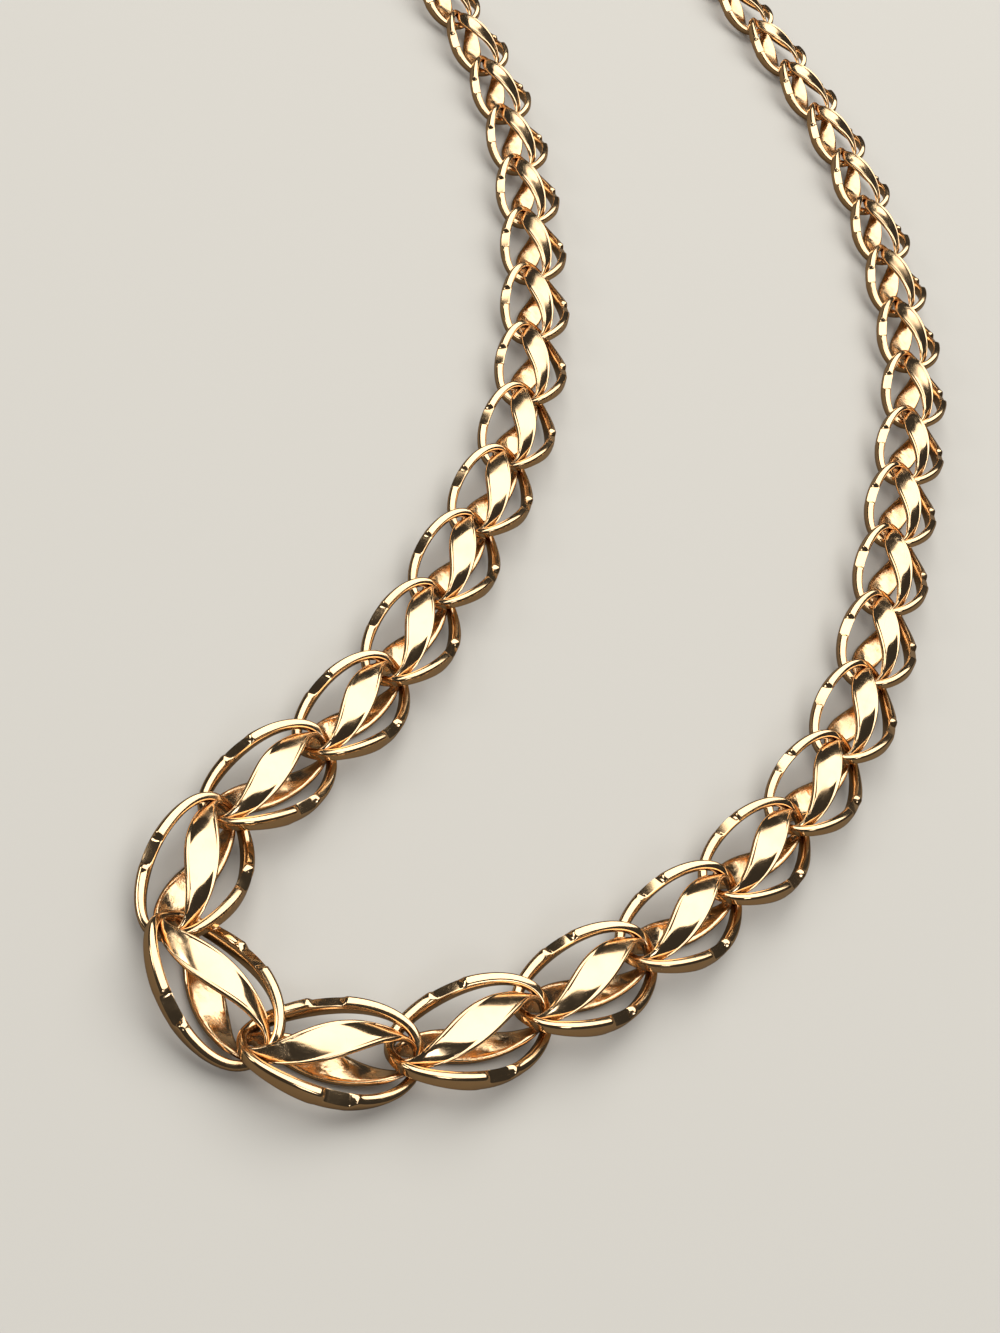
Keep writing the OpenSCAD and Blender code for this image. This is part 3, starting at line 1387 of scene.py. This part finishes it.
    def pin(self) -> bmesh.types.BMesh:
        """Turns the gate's pin, its ends domed over the lugs.

        Returns:
            The pin.
        """
        half = [(0.0, 0.44), (1.20, 0.44), (1.29, 0.44), (1.34, 0.36), (1.37, 0.20), (1.38, 0.0)]
        bm = turned(mirrored(half[1:]) + half, 36)
        self.stand_on_pin(bm)
        sharpen(bm, 25)
        return bm

    def spring(self) -> bmesh.types.BMesh:
        """Winds two coils of fine wire in the knuckle's seat.

        Returns:
            The spring.
        """
        bm = bmesh.new()
        wire = 0.12
        bmesh.ops.create_circle(bm, cap_ends=False, segments=10, radius=wire / 2)
        bmesh.ops.rotate(bm, verts=bm.verts[:], matrix=Matrix.Rotation(math.pi / 2, 3, "X"))
        shift(bm, (0.68, 0, 0.17 + wire / 2))
        steps = 120
        bmesh.ops.spin(
            bm,
            geom=bm.verts[:] + bm.edges[:],
            cent=(0, 0, 0),
            axis=(0, 0, 1),
            dvec=(0, 0, 0.24 / steps),
            angle=FULL_TURN * 2,
            steps=steps,
            use_merge=False,
            use_duplicate=False,
        )
        rims = [edge for edge in bm.edges if edge.is_boundary]
        bmesh.ops.holes_fill(bm, edges=rims, sides=0)
        face_outwards(bm)
        shift(bm, self.fit.pin)
        sharpen(bm, 60)
        return bm

    def build(self, shop: Workshop, place: Matrix) -> None:
        """Builds the catch.

        Args:
            shop: Workshop that finishes the pieces.
            place: Matrix from the end link's millimetres to the row frame.
        """
        thick = self.fit.lug_thick
        body = join(self.barrel(), self.hook(), self.lug(thick), self.lug(-2 * thick))
        sharpen(body, 28)
        pieces = (
            (body, "cast_swivel_body", Slot.POLISHED, "swivel_body", "swivel_body"),
            (self.bow(), "turning_bow", Slot.WIRE, "swivel_bow", "swivel_bow"),
            (self.rivet(), "riveted_collar", Slot.WIRE, "swivel_bow", "swivel_rivet"),
            (self.gate(), "sprung_gate", Slot.POLISHED, "swivel_gate", "swivel_gate"),
            (self.pin(), "domed_gate_pin", Slot.POLISHED, "swivel_body", "gate_pin"),
            (self.spring(), "coiled_gate_spring", Slot.SPRING, "swivel_body", "gate_spring"),
        )
        for bm, name, slot, rides_on, node in pieces:
            shop.finish(bm, name, place, slot, rides_on, node)


# ---------------------------------------------------------------- the stage


def direction(azimuth: float, elevation: float) -> Vector:
    """Direction from its angles in degrees: from +X towards +Y, and over the floor."""
    az, el = math.radians(azimuth), math.radians(elevation)
    return Vector((math.cos(az) * math.cos(el), math.sin(az) * math.cos(el), math.sin(el)))


@dataclass
class Studio:
    """Pale floor, soft lights and the camera."""

    look_at: Vector
    azimuth: float = 41.6
    elevation: float = 47.17
    roll: float = 26.96
    distance: float = 140.95 * MM
    focal: float = 1800 / 1333 * 36
    floor_colour: tuple[float, float, float] = (0.56, 0.55, 0.53)
    # Painted reflection: the dark colour that glossy rays see on the floor
    floor_painted_reflection: tuple[float, float, float] = (0.12, 0.095, 0.065)

    def camera(self) -> None:
        """Creates the camera and makes it the scene's own."""
        roll = math.radians(self.roll)
        ahead = direction(self.azimuth, -self.elevation)
        right = direction(self.azimuth - 90, 0)
        up = right.cross(ahead)
        tilted = math.cos(roll) * right + math.sin(roll) * up
        tilted_up = -math.sin(roll) * right + math.cos(roll) * up
        data = bpy.data.cameras.new("camera")
        data.sensor_width = 36
        data.lens = self.focal
        data.clip_start = 0.005
        data.clip_end = 20
        camera = bpy.data.objects.new("camera", data)
        turn = Matrix((tilted, tilted_up, -ahead)).transposed().to_4x4()
        camera.matrix_world = Matrix.Translation(self.look_at - ahead * self.distance) @ turn
        bpy.context.scene.collection.objects.link(camera)
        bpy.context.scene.camera = camera

    def floor(self) -> None:
        """Creates the pale floor that the chain lies on; glossy rays see it in a dark colour, a
        painted dark reflection in the gold.
        """
        bm = bmesh.new()
        bmesh.ops.create_grid(bm, x_segments=1, y_segments=1, size=3.0)
        mesh = bpy.data.meshes.new("floor")
        bm.to_mesh(mesh)
        bm.free()
        made = bpy.data.materials.new("floor_paper")
        made.use_nodes = True
        tree = made.node_tree
        shader = tree.nodes["Principled BSDF"]
        shader.inputs["Roughness"].default_value = 0.85
        # Painted reflection: glossy rays see the floor dark, so the gold mirrors it dark
        ray = tree.nodes.new("ShaderNodeLightPath")
        shade = tree.nodes.new("ShaderNodeMix")
        shade.data_type = "RGBA"
        shade.inputs["A"].default_value = (*self.floor_colour, 1)
        shade.inputs["B"].default_value = (*self.floor_painted_reflection, 1)
        tree.links.new(ray.outputs["Is Glossy Ray"], shade.inputs["Factor"])
        tree.links.new(shade.outputs["Result"], shader.inputs["Base Color"])
        mesh.materials.append(made)
        floor = bpy.data.objects.new("floor", mesh)
        floor.location.z = -0.02 * MM
        bpy.context.scene.collection.objects.link(floor)

    def light(
        self,
        name: str,
        way: Vector,
        away: float,
        size: float,
        power: float,
        tint: tuple[float, float, float],
    ) -> None:
        """Adds a square soft light that faces the chain.

        Args:
            name: Name of the light.
            way: Direction from the chain to the light.
            away: Distance from the chain, in metres.
            size: Side of the light, in metres.
            power: Power in watts.
            tint: Colour of the light.
        """
        data = bpy.data.lights.new(name, "AREA")
        data.shape = "SQUARE"
        data.size = size
        data.energy = power
        data.color = tint
        lamp = bpy.data.objects.new(name, data)
        turn = (-way).to_track_quat("-Z", "Y").to_matrix().to_4x4()
        lamp.matrix_world = Matrix.Translation(self.look_at + way * away) @ turn
        bpy.context.scene.collection.objects.link(lamp)

    def room(self) -> None:
        """Fills the room: pale for the floor, dim for what the gold mirrors."""
        world = bpy.data.worlds.new("room")
        bpy.context.scene.world = world
        world.use_nodes = True
        tree = world.node_tree
        back = tree.nodes["Background"]
        back.inputs["Color"].default_value = (0.86, 0.84, 0.80, 1)
        ray = tree.nodes.new("ShaderNodeLightPath")
        dim = math_node(tree, "MULTIPLY", ray.outputs["Is Glossy Ray"], -0.36)
        tree.links.new(math_node(tree, "ADD", dim, 0.40), back.inputs["Strength"])

    def lights(self) -> None:
        """Adds the soft lights and the room."""
        warm = (1.0, 0.97, 0.90)
        self.light("soft_window", direction(44, 66), 0.60, 0.90, 5.4, warm)
        self.light("soft_side", direction(150, 35), 0.70, 0.22, 0.5, warm)
        self.light("soft_front", direction(262, 42), 0.70, 0.20, 0.4, (1, 1, 1))
        self.room()

    def build(self) -> None:
        """Sets the whole stage."""
        bpy.context.scene.view_settings.view_transform = "Standard"
        self.camera()
        self.floor()
        self.lights()


# ---------------------------------------------------------------- all together


def main() -> None:
    """Builds the scene."""
    joints = {
        joint["name"]: Vector(joint["pos_m"]) for joint in frame["joints"] if "pos_m" in joint
    }
    groups = {"wear": build_wear_group(), "grain": build_grain_group()}
    shop = Workshop(
        {
            Slot.LINK: GoldFinish("link_rose_gold").material(groups),
            Slot.WIRE: GoldFinish("wire_rose_gold", polish=0.12).material(groups),
            Slot.POLISHED: GoldFinish("turned_rose_gold", polish=0.08).material(groups),
            Slot.SPRING: SteelFinish().material(groups),
        }
    )
    layout = ChainLayout(joints)
    ground = layout.place(MIDDLE_LINK).middle
    Studio(Vector((ground.x + 18.0 * MM, ground.y + 28.33 * MM, 0))).build()
    Chain(layout).build(shop)
    fit = EndFit()
    left = layout.place(1).end_matrix()
    right = layout.place(LINK_COUNT).end_matrix()
    JumpRing(fit, "t_bar").build(shop, left)
    TBar(fit).build(shop, left)
    JumpRing(fit, "swivel").build(shop, right)
    SwivelCatch(fit).build(shop, right)
    log.info("pieces made: %d", len(shop.made))


if __name__ == "__main__":
    main()
